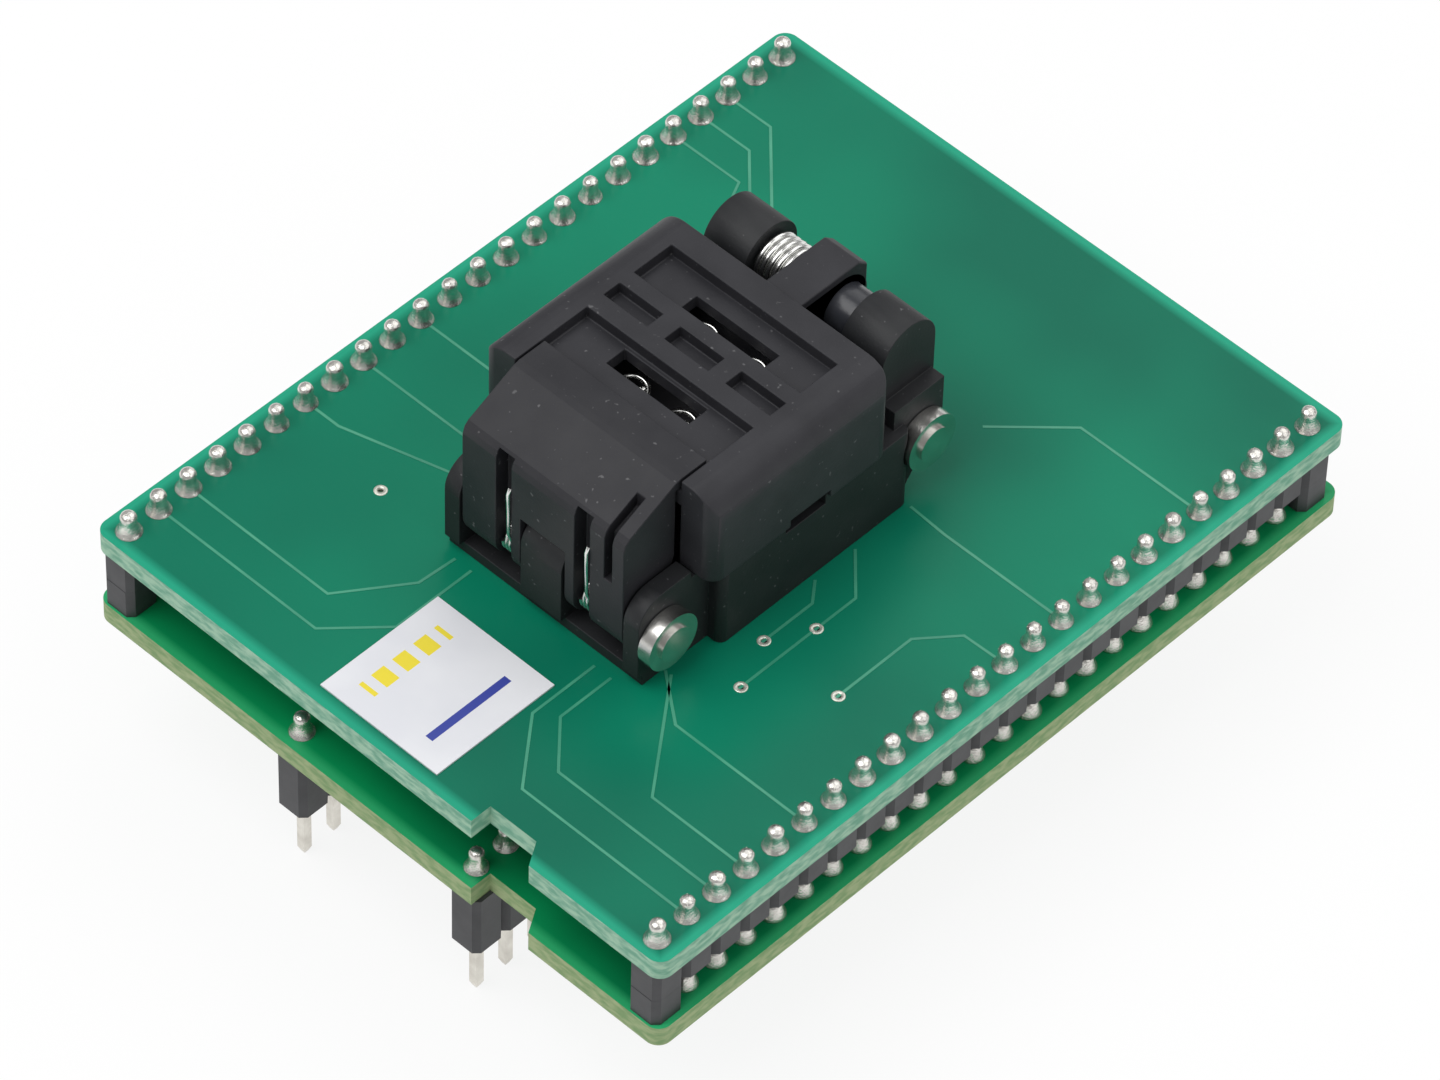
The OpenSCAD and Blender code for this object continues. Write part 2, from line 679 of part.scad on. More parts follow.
module latch() {
    half = latch_w / 2;
    front = -latch_front - 1;
    mid = post_mid_w + 2 * latch_play;
    color([0.2, 0.2, 0.215]) at_socket() difference() {
        side_slab(-half, half) latch_side();
        // Gap for the base's middle post
        translate([-mid / 2, front, -1]) cube([mid, latch_front, post_h + latch_play + 1]);
        // Slots for the two springs
        for (s = [-1, 1]) translate([s * latch_spring_x - latch_slot_w / 2, 0, 0]) {
            translate([0, front, latch_z - 1])
                cube([latch_slot_w, latch_slot_d + 1, latch_slot_top - latch_z + 1]);
            cross_rod(latch_coil_r + latch_wire, 0, latch_slot_w, -latch_y, latch_z);
            translate([0, front, -1]) cube([latch_slot_w, latch_front - latch_y + 0.8, latch_z + 1]);
        }
        // Relief slot near the right end, up the front and over the top
        side_slab(relief_x, relief_x + relief_w)
            polygon([[front, relief_z], [-latch_front + relief_d, relief_z],
                     [-latch_front + relief_d, lid_top - 2.9], [-latch_front + relief_top_l, lid_top - 2],
                     [-latch_front + relief_top_l, lid_top + 1], [front, lid_top + 1]]);
        cross_rod(cross_pin_r + run_play, -lid_w, lid_w, -latch_y, latch_z);
    }
}

// A spring's leg stands up the latch's slot
module latch_spring(side) {
    step = latch_wire + 0.02;
    r = latch_coil_r;
    x0 = side * latch_spring_x - step * latch_turns / 2;
    x1 = x0 + step * latch_turns;
    leg_top = latch_slot_top - 0.8;
    leg = [for (z = [latch_z + 0.5, (latch_z + leg_top) / 2, leg_top]) [x1, -latch_y - r, z]];
    turns = coil(x0, -latch_y, latch_z, r, step, latch_turns, 16, 1);
    color([0.8, 0.8, 0.8]) at_socket() wire(concat(turns, leg), latch_wire / 2, 8, [1, 0, 0]);
}

top_board();
lower_board();
label();
strip(-riser_x, top_z - strip_h - 0.01, strip_h);  // riser_strip_left
strip(riser_x, top_z - strip_h - 0.01, strip_h);  // riser_strip_right
riser_spacers();
pin_row(-riser_x, lower_z - 0.6, top_top + pin_proud);  // riser_pins_left
pin_row(riser_x, lower_z - 0.6, top_top + pin_proud);  // riser_pins_right
solder_row(-riser_x, top_top);  // top_solder_left
solder_row(riser_x, top_top);  // top_solder_right
solder_row(-riser_x, lower_top, 1);  // lower_solder_left
solder_row(riser_x, lower_top, 1);  // lower_solder_right
strip(-plug_x, lower_z - strip_h, strip_h);  // plug_strip_upper_left
strip(plug_x, lower_z - strip_h, strip_h);  // plug_strip_upper_right
strip(-plug_x, plug_block_z, strip_h);  // plug_strip_lower_left
strip(plug_x, plug_block_z, strip_h);  // plug_strip_lower_right
pin_row(-plug_x, 0, lower_top + pin_proud);  // plug_pins_left
pin_row(plug_x, 0, lower_top + pin_proud);  // plug_pins_right
solder_row(-plug_x, lower_top);  // plug_solder_left
solder_row(plug_x, lower_top);  // plug_solder_right
socket_base();
device_nest();
contact_side(180);  // contacts_front
contact_side(0);  // contacts_back
contact_side(90);  // contacts_left
contact_side(270);  // contacts_right
hinge_pin();
hinge_spacer();
anchor_pin();
latch_pin();
lid();
hinge_spring();
pressure_pad();
pad_springs();
latch();
latch_spring(-1);  // latch_spring_left
latch_spring(1);  // latch_spring_right
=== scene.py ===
# A clamshell test socket on a two-board adapter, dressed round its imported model.
import math
import bmesh
import bpy
from mathutils import Matrix, Vector


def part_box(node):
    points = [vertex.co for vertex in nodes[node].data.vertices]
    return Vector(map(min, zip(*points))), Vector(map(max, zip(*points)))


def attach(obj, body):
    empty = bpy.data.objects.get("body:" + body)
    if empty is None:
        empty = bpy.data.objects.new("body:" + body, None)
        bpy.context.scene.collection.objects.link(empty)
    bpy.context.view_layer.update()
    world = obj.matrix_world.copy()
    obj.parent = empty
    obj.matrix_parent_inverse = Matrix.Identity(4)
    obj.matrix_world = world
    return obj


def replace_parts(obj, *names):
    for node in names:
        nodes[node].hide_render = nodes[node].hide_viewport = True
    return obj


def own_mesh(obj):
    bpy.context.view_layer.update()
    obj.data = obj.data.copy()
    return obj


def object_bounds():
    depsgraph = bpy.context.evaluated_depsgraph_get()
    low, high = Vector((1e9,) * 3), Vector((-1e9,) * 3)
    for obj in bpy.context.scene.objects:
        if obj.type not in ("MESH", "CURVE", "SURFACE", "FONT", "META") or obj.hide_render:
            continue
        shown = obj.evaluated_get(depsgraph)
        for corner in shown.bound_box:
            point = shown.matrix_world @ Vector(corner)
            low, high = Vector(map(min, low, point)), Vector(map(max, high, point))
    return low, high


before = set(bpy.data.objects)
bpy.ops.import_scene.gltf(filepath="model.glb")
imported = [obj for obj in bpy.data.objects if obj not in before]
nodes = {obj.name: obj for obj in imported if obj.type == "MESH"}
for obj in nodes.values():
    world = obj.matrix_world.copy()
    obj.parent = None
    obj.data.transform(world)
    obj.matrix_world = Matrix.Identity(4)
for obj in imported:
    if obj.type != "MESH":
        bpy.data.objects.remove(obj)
cad_box = [list(corner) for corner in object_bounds()]


# ---- Lower board ----
# The board that carries the plug pins: glass-fibre laminate, 1.6 mm thick, under a green solder mask.
# It is routed from a panel, so its edges show the bare pale laminate with cut fibres.

MM = 0.001


def new_material(name, roughness, metallic=0.0):
    """A node material, with its shader, ready for a colour and a bump."""
    mat = bpy.data.materials.new(name)
    mat.use_nodes = True
    shader = mat.node_tree.nodes["Principled BSDF"]
    shader.inputs["Roughness"].default_value = roughness
    shader.inputs["Metallic"].default_value = metallic
    return mat, mat.node_tree, shader


def add(tree, kind, settings=(), **inputs):
    """A node of a tree: settings are its own properties, and inputs are values or sockets to link."""
    node = tree.nodes.new(kind)
    for key, value in dict(settings).items():
        setattr(node, key, value)
    for key, value in inputs.items():
        socket = node.inputs[int(key[1:]) if key[1:].isdigit() else key.replace("_", " ")]
        if isinstance(value, bpy.types.NodeSocket):
            tree.links.new(value, socket)
        else:
            socket.default_value = value
    return node


def blotches(tree, scale, detail=3.0, stretch=(1, 1, 1)):
    """Noise in object space, in blotches of about 1/scale metres."""
    place = add(tree, "ShaderNodeTexCoord").outputs["Object"]
    spread = add(tree, "ShaderNodeMapping", Vector=place, Scale=stretch)
    noise = add(tree, "ShaderNodeTexNoise", Vector=spread.outputs[0], Scale=scale, Detail=detail)
    return noise.outputs["Fac"]


def between(tree, fac, low, high, a, b):
    """Blends colour a into colour b as fac goes from low to high."""
    ramp = add(tree, "ShaderNodeMapRange", Value=fac, From_Min=low, From_Max=high).outputs[0]
    mix = tree.nodes.new("ShaderNodeMix")
    mix.data_type = "RGBA"
    tree.links.new(ramp, mix.inputs["Factor"])
    for socket, colour in ((mix.inputs[6], a), (mix.inputs[7], b)):
        if isinstance(colour, bpy.types.NodeSocket):
            tree.links.new(colour, socket)
        else:
            socket.default_value = (*colour, 1)
    return mix.outputs[2]


def bump(tree, shader, height, depth, strength):
    """Relief of a given depth in metres on a shader."""
    relief = add(tree, "ShaderNodeBump", Height=height, Distance=depth, Strength=strength)
    tree.links.new(relief.outputs[0], shader.inputs["Normal"])


RIM_FROM, RIM_TO = 0.35 * MM, 0.95 * MM


def board_finish(name, mask, mask_dark, rim, edge, edge_dark):
    """Solder mask on the faces, paler in the rim that has no copper under it; bare laminate on the edges."""
    mat, tree, shader = new_material(name, 0.32)
    shader.inputs["Specular IOR Level"].default_value = 0.16
    normal = add(tree, "ShaderNodeNewGeometry").outputs["Normal"]
    up = add(tree, "ShaderNodeSeparateXYZ", Vector=normal).outputs["Z"]
    flat = add(tree, "ShaderNodeMath", {"operation": "ABSOLUTE"}, _0=up).outputs[0]
    face = between(tree, blotches(tree, 45, 2), 0.35, 0.68, mask, mask_dark)
    axes = add(tree, "ShaderNodeSeparateXYZ", Vector=add(tree, "ShaderNodeTexCoord").outputs["Object"])
    inset = []
    for axis, half in (("X", cad_box[1][0]), ("Y", cad_box[1][1])):
        out = add(tree, "ShaderNodeMath", {"operation": "ABSOLUTE"}, _0=axes.outputs[axis]).outputs[0]
        inset.append(add(tree, "ShaderNodeMath", {"operation": "SUBTRACT"}, _0=half, _1=out).outputs[0])
    nearest = add(tree, "ShaderNodeMath", {"operation": "MINIMUM"}, _0=inset[0], _1=inset[1]).outputs[0]
    face = between(tree, nearest, RIM_FROM, RIM_TO, rim, face)
    fibres = blotches(tree, 900, 4, (1, 1, 3))
    side = between(tree, fibres, 0.38, 0.62, edge_dark, edge)
    tree.links.new(between(tree, flat, 0.4, 0.6, side, face), shader.inputs["Base Color"])
    rough = add(tree, "ShaderNodeMapRange", Value=flat, From_Min=0.4, From_Max=0.6, To_Min=0.75, To_Max=0.3)
    tree.links.new(rough.outputs[0], shader.inputs["Roughness"])
    weave = blotches(tree, 1400, 2)
    bump(tree, shader, weave, 0.00002, 0.35)
    return mat


def dress(node, mat):
    """A CAD node keeps its shape and takes a finish."""
    mesh = nodes[node].data
    mesh.materials.clear()
    mesh.materials.append(mat)


lower_mask = board_finish("lower_mask", (0.004, 0.33, 0.105), (0.003, 0.22, 0.075), (0.03, 0.42, 0.16),
                          (0.36, 0.44, 0.24), (0.22, 0.34, 0.16))
dress("lower_board", lower_mask)


# ---- Top board ----
# The board that carries the socket. Its mask is bluer, its ground plane shows as a darker field,
# and thin traces run under the mask from the outer pins towards the socket.

top_mask = board_finish("top_mask", (0.003, 0.215, 0.120), (0.002, 0.140, 0.083), (0.016, 0.33, 0.20),
                        (0.36, 0.56, 0.42), (0.17, 0.38, 0.27))
dress("top_board", top_mask)
top_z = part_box("top_board")[1].z


def node_group(name, inputs):
    """A geometry tree with named inputs. Returns the tree and its input node."""
    group = bpy.data.node_groups.new(name, "GeometryNodeTree")
    group.interface.new_socket("Geometry", in_out="INPUT", socket_type="NodeSocketGeometry")
    for label, kind in inputs.items():
        group.interface.new_socket(label, in_out="INPUT", socket_type="NodeSocket" + kind)
    group.interface.new_socket("Geometry", in_out="OUTPUT", socket_type="NodeSocketGeometry")
    return group, group.nodes.new("NodeGroupInput").outputs


def end_group(group, geometry, mat):
    """Closes a tree: instances made real, then the material."""
    real = add(group, "GeometryNodeRealizeInstances", Geometry=geometry).outputs[0]
    done = add(group, "GeometryNodeSetMaterial", Geometry=real, Material=mat).outputs[0]
    group.links.new(done, group.nodes.new("NodeGroupOutput").inputs[0])


def grown(name, mesh, group, body, slot, **values):
    """Runs a tree on a mesh and keeps the result as a plain piece on a body."""
    seed = bpy.data.objects.new(name + "_seed", mesh)
    bpy.context.scene.collection.objects.link(seed)
    modifier = seed.modifiers.new("grow", "NODES")
    modifier.node_group = group
    for item in group.interface.items_tree:
        key = item.name.replace(" ", "_").lower()
        if item.item_type == "SOCKET" and item.in_out == "INPUT" and key in values:
            modifier[item.identifier] = values[key]
    graph = bpy.context.evaluated_depsgraph_get()
    result = bpy.data.meshes.new_from_object(seed.evaluated_get(graph))
    bpy.data.objects.remove(seed)
    piece = bpy.data.objects.new(name, result)
    bpy.context.scene.collection.objects.link(piece)
    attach(piece, body)
    return piece


def swept_group(name, flat):
    """Sweeps a round wire, or a flat ribbon, along the edges of a mesh."""
    group, given = node_group(name, {"Width": "Float", "Height": "Float", "Material": "Material"})
    path = add(group, "GeometryNodeMeshToCurve", Mesh=given["Geometry"]).outputs[0]
    if flat:
        path = add(group, "GeometryNodeSetCurveNormal", {"mode": "Z_UP"}, Curve=path).outputs[0]
        profile = add(group, "GeometryNodeCurvePrimitiveQuadrilateral",
                      Width=given["Width"], Height=given["Height"])
    else:
        half = add(group, "ShaderNodeMath", {"operation": "MULTIPLY"}, _0=given["Width"], _1=0.5).outputs[0]
        profile = add(group, "GeometryNodeCurvePrimitiveCircle", Resolution=12, Radius=half)
    tube = add(group, "GeometryNodeCurveToMesh", Curve=path, Profile_Curve=profile.outputs[0], Fill_Caps=True)
    smooth = add(group, "GeometryNodeSetShadeSmooth", Geometry=tube.outputs[0], Shade_Smooth=not flat)
    end_group(group, smooth.outputs[0], given["Material"])
    return group


def path_mesh(name, paths):
    """Open paths of points in metres, as the edges of one mesh."""
    points, edges = [], []
    for path in paths:
        start = len(points)
        points += path
        edges += [(i, i + 1) for i in range(start, start + len(path) - 1)]
    mesh = bpy.data.meshes.new(name)
    mesh.from_pydata(points, edges, [])
    return mesh


# Routes in millimetres from the middle between the pin rows, each from its pin towards the socket
ROUTES = [
    [(-22.9, 24.1), (-19, 24.1), (-13, 18), (-10.3, 11)],
    [(-22.9, 21.6), (-18.5, 21.6), (-12, 15), (-11, 8)],
    [(-22.9, 19.1), (-17, 19.1), (-13.6, 12), (-13, 5)],
    [(-22.9, -3.8), (-14, -3.8), (-10.5, -1.5)],
    [(-22.9, -8.9), (-13.5, -8.9), (-10.5, -6)],
    [(-22.9, -13.9), (-20, -13.9), (-12, -11.6), (-10.5, -9)],
    [(-22.9, -24.1), (-10.5, -24.1), (-7.2, -19.5), (-7, -16.5)],
    [(-22.9, -26.6), (-9, -26.6), (-5.6, -23), (-5.6, -16.5)],
    [(8.5, -13.8), (12, -16.5), (22.9, -16.5)],
    [(9, -13.8), (15, -21.6), (22.9, -21.6)],
    [(12.7, -11.8), (12.7, -1.3), (9.9, 1.6)],
    [(17.4, -8.1), (17.4, -1.3), (19.5, 1.2), (22.9, 1.3)],
    [(8.5, 14.7), (12.9, 19), (22.9, 19)],
    [(9.9, 6.6), (13, 6.4), (22.9, 6.4)],
    [(11.1, -8.1), (11.1, -3.5), (9.9, -2)],
    [(5.2, -16.6), (5.2, -22), (9, -26.7), (22.9, -26.7)],
    [(6.6, -16.6), (6.6, -21), (9.6, -24.2), (22.9, -24.2)],
]
# The pin rows' middle lies this far from the boards' middle
ROW_Y = -0.3
TRACE_WIDTH, TRACE_HEIGHT = 0.2 * MM, 0.03 * MM
trace_lift = 0.01 * MM
trace_mask, tree, shader = new_material("trace_mask", 0.3)
tree.links.new(between(tree, blotches(tree, 300), 0.3, 0.7, (0.06, 0.34, 0.21), (0.03, 0.25, 0.155)),
               shader.inputs["Base Color"])
traces = path_mesh("traces", [[(x * MM, (y + ROW_Y) * MM, top_z + trace_lift) for x, y in route]
                              for route in ROUTES])
grown("top_traces", traces, swept_group("ribbon", True), "adapter", "board_top",
      width=TRACE_WIDTH, height=TRACE_HEIGHT, material=trace_mask)


# ---- Vias ----
# Plated holes that take a trace to the board's other side. Each is a tinned copper ring, free of the
# mask, round a dark drill hole.

tin, tree, shader = new_material("via_tin", 0.4, 0.6)
tree.links.new(between(tree, blotches(tree, 2500), 0.3, 0.7, (0.80, 0.80, 0.72), (0.60, 0.60, 0.52)),
               shader.inputs["Base Color"])
VIAS = [(12.7, -4.8), (11.1, -7.8), (17.4, -7.8), (12.7, -11.5), (-14.3, -15.8)]


FACES_AROUND = 20


def lathe(name, profile):
    """A closed profile of (radius, height) in millimetres, turned about Z."""
    mesh = bpy.data.meshes.new(name)
    verts, faces = [], []
    for step in range(FACES_AROUND):
        turn = 2 * math.pi * step / FACES_AROUND
        verts += [(r * MM * math.cos(turn), r * MM * math.sin(turn), z * MM) for r, z in profile]
    n = len(profile)
    for step in range(FACES_AROUND):
        a, b = step * n, (step + 1) % FACES_AROUND * n
        faces += [(a + k, b + k, b + (k + 1) % n, a + (k + 1) % n) for k in range(n)]
    mesh.from_pydata(verts, [], faces)
    shell = bmesh.new()
    shell.from_mesh(mesh)
    bmesh.ops.remove_doubles(shell, verts=shell.verts, dist=1e-7)
    bmesh.ops.dissolve_degenerate(shell, edges=shell.edges, dist=1e-7)
    bmesh.ops.recalc_face_normals(shell, faces=shell.faces)
    shell.to_mesh(mesh)
    shell.free()
    mesh.shade_smooth()
    return mesh


def scatter_group(name):
    """Sets a copy of a shape on each point, each turned and sized a little differently."""
    group, given = node_group(name, {"Shape": "Object", "Variation": "Float", "Seed": "Int",
                                     "Material": "Material"})
    shape = add(group, "GeometryNodeObjectInfo", Object=given["Shape"])
    low = add(group, "ShaderNodeMath", {"operation": "SUBTRACT"}, _0=1.0, _1=given["Variation"]).outputs[0]
    high = add(group, "ShaderNodeMath", {"operation": "ADD"}, _0=1.0, _1=given["Variation"]).outputs[0]
    across = add(group, "FunctionNodeRandomValue", _2=low, _3=high, Seed=given["Seed"]).outputs[1]
    turn = add(group, "FunctionNodeRandomValue", _3=2 * math.pi, Seed=given["Seed"]).outputs[1]
    size = add(group, "ShaderNodeCombineXYZ", X=across, Y=across, Z=1.0).outputs[0]
    spin = add(group, "ShaderNodeCombineXYZ", Z=turn).outputs[0]
    spin = add(group, "FunctionNodeEulerToRotation", Euler=spin).outputs[0]
    copies = add(group, "GeometryNodeInstanceOnPoints", Points=given["Geometry"],
                 Instance=shape.outputs["Geometry"], Rotation=spin, Scale=size)
    end_group(group, copies.outputs[0], given["Material"])
    return group


scatter = scatter_group("scatter")


def scattered(name, points, shape, body, slot, mat, variation=0.0, seed=1):
    """Copies of a shape on points, as one piece."""
    model = bpy.data.objects.new(name + "_shape", shape)
    spots = bpy.data.meshes.new(name)
    spots.from_pydata(points, [], [])
    piece = grown(name, spots, scatter, body, slot, shape=model, variation=variation, seed=seed, material=mat)
    bpy.data.objects.remove(model)
    return piece


ring = lathe("via_ring", [(0.2, -0.3), (0.2, 0.03), (0.42, 0.03), (0.46, 0.0), (0.46, -0.02),
                          (0.24, -0.3)])
scattered("vias", [(x * MM, (y + ROW_Y) * MM, top_z) for x, y in VIAS], ring, "adapter", "tinned_pin", tin)


# ---- Label ----
# A square of white polyester label stock, stuck on by hand. Its print is plain: a row of small yellow
# squares and a blue bar.

label_stock, tree, shader = new_material("label_stock", 0.38)
place = add(tree, "ShaderNodeTexCoord").outputs["Object"]
low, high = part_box("label")
centre = (low + high) / 2
spot = add(tree, "ShaderNodeMapping", Vector=place, Location=(-centre.x, -centre.y, 0))
axes = add(tree, "ShaderNodeSeparateXYZ", Vector=spot.outputs[0])


def inside(tree, value, low, high):
    """1 where a value lies between two bounds."""
    above = add(tree, "ShaderNodeMath", {"operation": "GREATER_THAN"}, _0=value, _1=low).outputs[0]
    below = add(tree, "ShaderNodeMath", {"operation": "LESS_THAN"}, _0=value, _1=high).outputs[0]
    return add(tree, "ShaderNodeMath", {"operation": "MULTIPLY"}, _0=above, _1=below).outputs[0]


def both(tree, a, b):
    """1 where two conditions hold together."""
    return add(tree, "ShaderNodeMath", {"operation": "MULTIPLY"}, _0=a, _1=b).outputs[0]


paper = between(tree, blotches(tree, 160), 0.35, 0.65, (0.70, 0.71, 0.75), (0.76, 0.77, 0.80))
along = axes.outputs["Y"]
across = axes.outputs["X"]
HALF_PITCH, HALF_SQUARE, HALF_PRINT = 0.9 * MM, 0.55 * MM, 3.4 * MM
SQUARES_FROM, SQUARES_TO = -3.4 * MM, -2.0 * MM
BAR_FROM, BAR_TO = 2.4 * MM, 3.0 * MM
cell = add(tree, "ShaderNodeMath", {"operation": "PINGPONG"}, _0=along, _1=HALF_PITCH).outputs[0]
squares = both(tree, inside(tree, cell, 0.0, HALF_SQUARE), inside(tree, across, SQUARES_FROM, SQUARES_TO))
squares = both(tree, squares, inside(tree, along, -HALF_PRINT, HALF_PRINT))
bar = both(tree, inside(tree, across, BAR_FROM, BAR_TO), inside(tree, along, -HALF_PRINT, HALF_PRINT))
print_1 = between(tree, squares, 0.4, 0.6, paper, (0.80, 0.66, 0.03))
print_2 = between(tree, bar, 0.4, 0.6, print_1, (0.03, 0.05, 0.32))
tree.links.new(print_2, shader.inputs["Base Color"])
bump(tree, shader, blotches(tree, 700), 0.00001, 0.5)
dress("label", label_stock)


# ---- Outer pin rows ----
# Two rows of 24 square tinned pins join the boards. They run through black insulator strips under
# the top board and are soldered by hand on the top board and on the lower one.

def plain_finish(name, light, dark, roughness, metallic, scale, depth):
    """A finish that drifts between two shades, with a fine relief."""
    mat, tree, shader = new_material(name, roughness, metallic)
    drift = blotches(tree, scale)
    tree.links.new(between(tree, drift, 0.3, 0.7, light, dark), shader.inputs["Base Color"])
    bump(tree, shader, blotches(tree, scale * 6, 2), depth, 0.6)
    return mat


strip_black = plain_finish("strip_black", (0.050, 0.050, 0.055), (0.030, 0.030, 0.034), 0.5, 0, 500, 0.00001)
pin_tin = plain_finish("pin_tin", (0.82, 0.79, 0.72), (0.62, 0.59, 0.53), 0.32, 0.95, 900, 0.00001)
solder = plain_finish("solder", (0.86, 0.84, 0.79), (0.62, 0.60, 0.56), 0.27, 0.92, 1200, 0.00006)
for side in ("left", "right"):
    dress("riser_strip_" + side, strip_black)
    dress("riser_pins_" + side, pin_tin)
dress("riser_spacers", strip_black)

PINS = 24
PITCH = 2.54 * MM
half_row = (PINS - 1) * PITCH / 2
tinned_tip = lathe("tinned_tip", [(0, 0), (0.86, 0), (0.85, 0.04), (0.77, 0.12), (0.67, 0.28), (0.59, 0.48),
                                  (0.53, 0.7), (0.5, 0.9), (0.52, 1.12), (0.52, 1.32), (0.46, 1.48),
                                  (0.3, 1.6), (0, 1.64)])
collar = lathe("solder_collar", [(0, 0), (0.85, 0), (0.84, 0.08), (0.78, 0.26), (0.7, 0.46), (0.62, 0.68),
                                 (0.54, 0.88), (0.46, 1.05), (0, 1.1)])
VARIATION = 0.06
# Each row's form, the end pins it leaves out because a spacer stands there, and its seed
joints = [("top_solder_left", tinned_tip, 0, 3), ("top_solder_right", tinned_tip, 0, 4),
          ("lower_solder_left", collar, 1, 5), ("lower_solder_right", collar, 1, 6),
          ("plug_solder_left", tinned_tip, 0, 7), ("plug_solder_right", tinned_tip, 0, 8)]
for joint, form, skip, seed in joints:
    low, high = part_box(joint)
    x, z = (low.x + high.x) / 2, low.z
    points = [(x, ROW_Y * MM - half_row + i * PITCH, z) for i in range(skip, PINS - skip)]
    piece = scattered(joint + "_joints", points, form, "adapter", "solder", solder, VARIATION, seed)
    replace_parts(piece, joint)


# ---- Plug pins ----
# Two rows of 24 pins, 15.24 mm apart, plug into a programmer. Each row is held by two stacked
# insulator strips below the lower board.

for side in ("left", "right"):
    dress("plug_pins_" + side, pin_tin)
    for level in ("upper", "lower"):
        dress("plug_strip_" + level + "_" + side, strip_black)


# ---- Socket base ----
# One moulding of black glass-filled plastic: the well for the nest, the hinge ears at the back, the
# posts for the latch pin in front. Its edges are softly rounded by the mould.

def moulded_black(name, light, dark):
    """Matt black moulding with a fine spark-eroded grain and paler scuffs."""
    mat, tree, shader = new_material(name, 0.52)
    shader.inputs["Specular IOR Level"].default_value = 0.32
    shade = between(tree, blotches(tree, 260, 4), 0.32, 0.68, dark, light)
    specks = blotches(tree, 2600, 1)
    tree.links.new(between(tree, specks, 0.72, 0.80, shade, (0.10, 0.10, 0.105)), shader.inputs["Base Color"])
    grain = blotches(tree, 5200, 3)
    bump(tree, shader, grain, 0.00002, 0.5)
    return mat


def rounded(name, mesh, body, mat, radius):
    """A closed form with its sharp edges rounded."""
    form = bpy.data.objects.new(name + "_form", mesh)
    bpy.context.scene.collection.objects.link(form)
    rounding = form.modifiers.new("rounding", "BEVEL")
    rounding.width = radius * MM
    rounding.segments = 2
    rounding.limit_method = "ANGLE"
    rounding.angle_limit = math.radians(32)
    rounding.harden_normals = True
    graph = bpy.context.evaluated_depsgraph_get()
    result = bpy.data.meshes.new_from_object(form.evaluated_get(graph))
    bpy.data.objects.remove(form)
    piece = bpy.data.objects.new(name, result)
    bpy.context.scene.collection.objects.link(piece)
    piece.data.materials.clear()
    piece.data.materials.append(mat)
    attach(piece, body)
    return piece


MOULD_RADIUS = 0.1


def moulded(node, body, mat):
    """A CAD node's form, merged into one closed mesh, with the mould's round edges."""
    shell = bmesh.new()
    shell.from_mesh(nodes[node].data)
    bmesh.ops.remove_doubles(shell, verts=shell.verts, dist=2e-7)
    bmesh.ops.dissolve_limit(shell, angle_limit=math.radians(0.4), verts=shell.verts, edges=shell.edges)
    mesh = bpy.data.meshes.new(node + "_form")
    shell.to_mesh(mesh)
    shell.free()
    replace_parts(rounded(node + "_moulding", mesh, body, mat, MOULD_RADIUS), node)


# The base, the lid and the latch are one black plastic; the base's darker black is painted shade for its
# shaded sides.
base_black = moulded_black("base_black", (0.022, 0.023, 0.025), (0.014, 0.015, 0.017))
moulded("socket_base", "adapter", base_black)


# ---- Chip seat ----
# The nest that centres the chip, and the gilt contact strips that spring up under its leads.
# Both show only with the lid open.

nest_black = plain_finish("nest_black", (0.045, 0.045, 0.050), (0.030, 0.030, 0.034), 0.45, 0, 400, 0.00001)
gilt = plain_finish("gilt", (0.90, 0.68, 0.30), (0.70, 0.50, 0.20), 0.25, 1, 1500, 0.000005)
dress("device_nest", nest_black)
for side in ("front", "back", "left", "right"):
    dress("contacts_" + side, gilt)


# ---- Pins of the hinge and the latch ----
# Turned steel pins. The latch pin and the anchor pin have bright round heads on the right side, and a
# dark sleeve keeps the lid's lug beside the spring.

pin_steel = plain_finish("pin_steel", (0.74, 0.73, 0.70), (0.58, 0.57, 0.54), 0.26, 1, 700, 0.00001)
for pin in ("hinge_pin", "anchor_pin", "latch_pin"):
    dress(pin, pin_steel)
sleeve_black = plain_finish("sleeve_black", (0.040, 0.042, 0.050), (0.026, 0.028, 0.034), 0.25, 0, 600,
                            0.00001)
dress("hinge_spacer", sleeve_black)


# ---- Lid ----
# The hinged cover that presses the chip down: black glass-filled moulding with recesses and two slots,
# and its spring of bright steel wire beside the hinge lug.

# The lid's black is lighter than the base's: painted light for its lit top.
lid_black = moulded_black("lid_black", (0.030, 0.030, 0.035), (0.020, 0.020, 0.024))
moulded("lid", "lid", lid_black)
spring_steel = plain_finish("spring_steel", (0.86, 0.86, 0.84), (0.70, 0.70, 0.68), 0.22, 1, 1500, 0.000005)
dress("pressure_pad", nest_black)

HINGE_WIRE, HINGE_COIL_R, HINGE_TURNS = 0.45 * MM, 1.65 * MM, 5
PAD_WIRE, PAD_COIL_R, PAD_TURNS, PAD_TRAVEL = 0.3 * MM, 0.95 * MM, 4, 0.4 * MM
TURN_POINTS = 28
round_wire = swept_group("round_wire", False)
hinge_axis = (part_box("hinge_pin")[0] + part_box("hinge_pin")[1]) / 2


def coil_across(x0, x1, axis, radius, turns, way):
    """Points of a coil about an axis along X. It starts and ends on the axis's front side."""
    count = turns * TURN_POINTS
    points = []
    for i in range(count + 1):
        angle = math.pi + way * 2 * math.pi * turns * i / count
        points.append((x0 + (x1 - x0) * i / count, axis.y + radius * math.cos(angle),
                       axis.z + radius * math.sin(angle)))
    return points


low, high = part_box("hinge_spring")
x0, x1 = low.x + HINGE_WIRE / 2, high.x - HINGE_WIRE / 2
